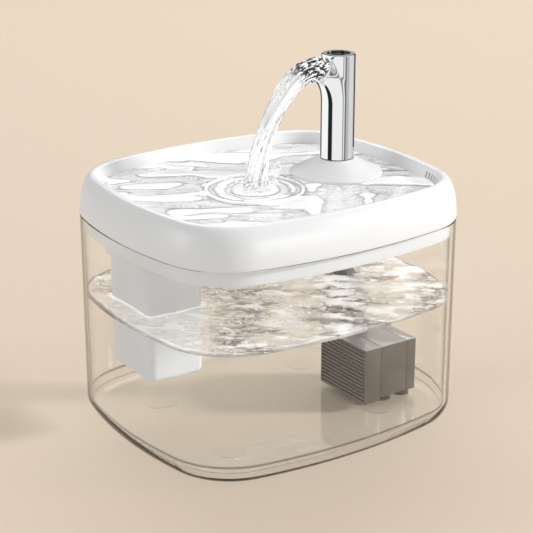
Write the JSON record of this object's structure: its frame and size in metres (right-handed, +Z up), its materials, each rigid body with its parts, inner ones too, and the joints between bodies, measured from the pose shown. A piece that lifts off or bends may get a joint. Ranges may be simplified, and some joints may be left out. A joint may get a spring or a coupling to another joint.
{
  "type": "pet water fountain",
  "caption": "Free-standing pet drinking fountain: clear squircle tank, lift-off white drinking tray with a swivelling chrome tap, hanging filter box and submersible pump.",
  "frame": {"origin": "centre of the footprint on the floor, under the middle of the tank", "axes": "+Z up, +X along the long side from the filter end to the tap end, -Y the front"},
  "size_m": [0.2, 0.177, 0.2135],
  "materials": {
    "clear_plastic": "clear, polished",
    "white_plastic": "satin",
    "frosted_plastic": "frosted",
    "liner_plastic": "moulded",
    "chrome": "polished",
    "black_gloss": "gloss",
    "rubber": "soft, translucent grey",
    "black_rubber": "matte",
    "silicone": "clear silicone",
    "smoke_plastic": "smoky, translucent",
    "grey_plastic": "moulded",
    "impeller_plastic": "moulded",
    "magnet": "sintered",
    "shaft_steel": "ground",
    "core_steel": "stamped sheets",
    "copper": "enamelled copper wire",
    "potting_resin": "cast",
    "filter_cotton": "felted",
    "filter_resin": "granules",
    "filter_carbon": "granules",
    "pump_sponge": "open foam",
    "water": "clear, rippled"
  },
  "bodies": {
    "base": {"tank": "clear_plastic", "tank_pads": "rubber", "pump_housing": "smoke_plastic", "chamber_cover": "grey_plastic", "stator_core": "core_steel", "motor_coil": "copper", "motor_potting": "potting_resin", "rear_cover": "smoke_plastic", "cable_gland": "black_rubber", "suction_cups": "rubber", "impeller_shaft": "shaft_steel", "shaft_bushes": "black_rubber", "riser_hose": "silicone"},
    "tray": {"tray": "white_plastic", "faucet_base": "white_plastic", "base_nut": "white_plastic", "base_gasket": "rubber"},
    "faucet_seat": {"faucet_washer": "rubber"},
    "faucet": {"faucet_tube": "chrome", "faucet_liner": "liner_plastic", "faucet_cap": "black_gloss", "faucet_orings": "black_rubber"},
    "filter_box": {"filter_box": "frosted_plastic"},
    "filter_cartridge": {"filter_grille": "white_plastic", "cartridge_frame": "frosted_plastic", "filter_cotton": "filter_cotton", "filter_resin": "filter_resin", "filter_carbon": "filter_carbon"},
    "intake_cover": {"intake_cover": "smoke_plastic", "pump_sponge": "pump_sponge"},
    "impeller": {"impeller": "impeller_plastic", "rotor_magnet": "magnet"}
  },
  "joints": [
    {"name": "tray_lift", "type": "slide", "parent": "base", "child": "tray", "axis": [0, 0, 1], "range_m": [0, 0.1]},
    {"name": "faucet_swivel", "type": "hinge", "parent": "tray", "child": "faucet_seat", "pos_m": [0.05, 0, 0.151], "axis": [0, 0, 1], "range_deg": [-90, 90]},
    {"name": "faucet_pull", "type": "slide", "parent": "faucet_seat", "child": "faucet", "axis": [0, 0, 1], "range_m": [0, 0.025]},
    {"name": "filter_box_release", "type": "slide", "parent": "tray", "child": "filter_box", "axis": [0, 0, -1], "range_m": [0, 0.02]},
    {"name": "filter_lift", "type": "slide", "parent": "tray", "child": "filter_cartridge", "axis": [0, 0, 1], "range_m": [0, 0.08]},
    {"name": "intake_cover_pull", "type": "slide", "parent": "base", "child": "intake_cover", "axis": [-1, 0, 0], "range_m": [0, 0.014]},
    {"name": "impeller_spin", "type": "hinge", "parent": "base", "child": "impeller", "pos_m": [0.0595, -0.0183, 0.02525], "axis": [1, 0, 0], "continuous": true}
  ]
}
